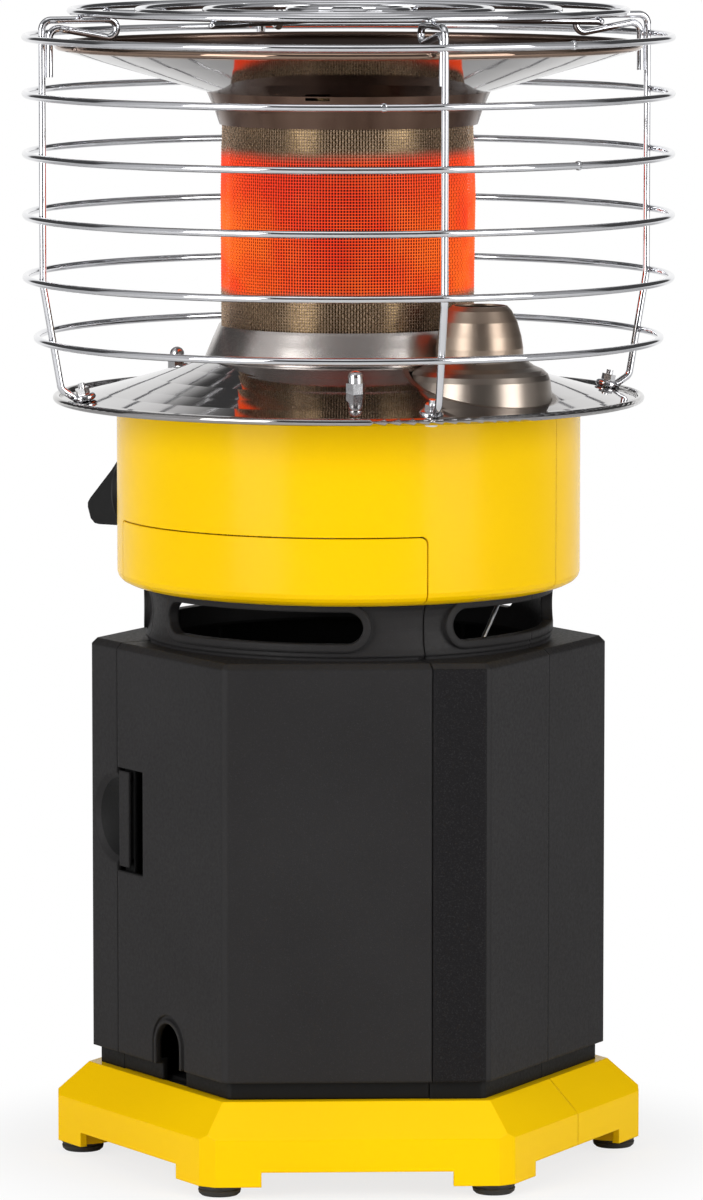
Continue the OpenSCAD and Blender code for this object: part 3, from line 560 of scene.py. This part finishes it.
def ring_weld(name, z, az):
    """Raised bead where the ends of a guard ring meet."""
    rng = np.random.default_rng(11 + int(az))
    n, m = 24, 9
    t = np.linspace(-1, 1, m)
    ph = np.arange(n) * 2 * math.pi / n
    lump = BEAD_R + BEAD_LUMP * np.sqrt(np.clip(1 - t ** 2, 0, 1))[:, None] * (
        1 + 0.3 * np.cos(ph - 0.8)[None, :] + 0.12 * rng.standard_normal((m, n)))
    ang = math.radians(az) + BEAD_HALF * t[:, None] / RING_R
    out = RING_R + np.minimum(lump * np.cos(ph)[None, :], BEAD_REACH)
    verts = np.stack([out * np.sin(ang), -out * np.cos(ang), z + lump * np.sin(ph)[None, :]], -1)
    i, j = np.meshgrid(np.arange(m - 1), np.arange(n), indexing="ij")
    k = (j + 1) % n
    faces = np.stack([i * n + j, i * n + k, (i + 1) * n + k, (i + 1) * n + j], -1).reshape(-1, 4)
    add_piece(name, quad_mesh(name, verts.reshape(-1, 3), faces), M["chrome"])


woven_tube()
seam_lip("seam_lip_right", 60)
seam_lip("seam_lip_left", -120)
ring_weld("ring_weld_1", 0.4733, 40.3)
ring_weld("ring_weld_2", 0.4497, 4.0)
ring_weld("ring_weld_3", 0.4244, 41.5)


# ---------------------------------------------------------------- stage
def seen_white(t, behind):
    """1 for the camera's own rays, and for bounced rays that meet the backdrop behind the object."""
    lp = t.new("ShaderNodeLightPath")
    bounced = t.larger(lp.outputs["Is Glossy Ray"], lp.outputs["Is Transmission Ray"])
    return t.larger(lp.outputs["Is Camera Ray"], t.mul(bounced, behind))


def floor_material():
    """Pale floor that keeps the object's shadow and runs out into white."""
    m = D.materials.new("pale_floor")
    m.use_nodes = True
    t = Tree(m.node_tree)
    out = t.new("ShaderNodeOutputMaterial")
    dif = t.new("ShaderNodeBsdfDiffuse")
    t.link(t.mix(t.noise(3.0), (0.90, 0.90, 0.90), (0.92, 0.92, 0.92)), dif.inputs[0])
    em = t.new("ShaderNodeEmission")
    em.inputs[0].default_value = (1, 1, 1, 1)
    a, r, z = around(t)
    x, y, z = t.xyz(t.coord())
    far = t.remap(r, *SHADOW_FADE, 0.78, 1.0, True)
    # metal shows the white behind the object, and the plain table around it
    behind = t.remap(y, 0.7, 1.6, 0.0, 0.9, True)
    white = t.mul(far, seen_white(t, behind))
    t.link(t.mix_shader(white, dif.outputs[0], em.outputs[0]), out.inputs[0])
    return m


def studio_world():
    """White backdrop behind the object, pale ceiling, and a dim room with a pale card on each side."""
    world = D.worlds.new("studio")
    bpy.context.scene.world = world
    world.use_nodes = True
    t = Tree(world.node_tree)
    out = t.new("ShaderNodeOutputWorld")
    lit = t.new("ShaderNodeBackground")
    seen = t.new("ShaderNodeBackground")
    seen.inputs[0].default_value = (1, 1, 1, 1)
    seen.inputs[1].default_value = 1.0
    x, y, z = t.xyz(t.new("ShaderNodeTexCoord").outputs["Generated"])
    back = t.remap(y, 0.88, 0.95, 0.0, 0.85, True)
    beside = t.mul(t.remap(y, 0.10, 0.25, 1.0, 0.0, True), t.remap(y, -0.62, -0.50, 0.0, 1.0, True))
    # the card on the left is the paler one
    card = t.mul(beside, t.mix(t.below(x, 0.0), (0.42, 0.42, 0.42), (0.62, 0.62, 0.62)))
    ceiling = t.remap(z, 0.50, 0.72, 0.0, 0.28, True)
    room = 0.07
    level = t.larger(t.larger(t.larger(back, ceiling), card), room)
    t.link(t.mix(level, (0, 0, 0), (0.95, 0.95, 0.965)), lit.inputs[0])
    lit.inputs[1].default_value = 1.0
    white = seen_white(t, t.remap(y, 0.88, 0.95, 0.0, 1.0, True))
    t.link(t.mix_shader(white, lit.outputs[0], seen.outputs[0]), out.inputs[0])


def area(name, loc, target, size, power):
    """Rectangular lamp that faces a point."""
    data = D.lights.new(name, "AREA")
    data.shape = "RECTANGLE"
    data.size, data.size_y = size
    data.energy = power
    ob = D.objects.new(name, data)
    ob.location = loc
    ob.rotation_euler = (Vector(target) - Vector(loc)).to_track_quat("-Z", "Y").to_euler()
    bpy.context.scene.collection.objects.link(ob)


floor_mesh = D.meshes.new("floor")
bm = bmesh.new()
bmesh.ops.create_circle(bm, cap_ends=True, segments=96, radius=FLOOR_R)
bm.to_mesh(floor_mesh)
bm.free()
floor_mesh.materials.append(floor_material())
floor = D.objects.new("floor", floor_mesh)
floor.location.z = -FLOOR_DROP
bpy.context.scene.collection.objects.link(floor)

studio_world()
area("softbox_left", (-1.88, -1.80, 0.95), (0, 0, 0.30), (1.3, 1.9), 44)
area("softbox_right", (1.98, -1.70, 0.95), (0, 0, 0.30), (1.4, 1.9), 42)
area("overhead", (0, -0.6, 2.4), (0, 0, 0.3), (1.4, 1.2), 4)

# ---------------------------------------------------------------- camera
# Focal length and sideways shift in pixels of the frame, whose longer side is its height
FOCAL_PX = 7028.13
SHIFT_PX = 2.92
FRAME_H = 1200
SENSOR = 36
PITCH = math.radians(6.65)
TURN = math.radians(-1.97)
cam_data = D.cameras.new("camera")
cam_data.sensor_width = SENSOR
cam_data.lens = SENSOR * FOCAL_PX / FRAME_H
cam_data.shift_x = SHIFT_PX / FRAME_H
cam_data.clip_end = 100
cam = D.objects.new("camera", cam_data)
cam.location = (-0.1016, -2.9539, 0.5799)
cam.rotation_euler = (math.pi / 2 - PITCH, 0, TURN)
bpy.context.scene.collection.objects.link(cam)
bpy.context.scene.camera = cam
bpy.context.scene.view_settings.view_transform = "Standard"
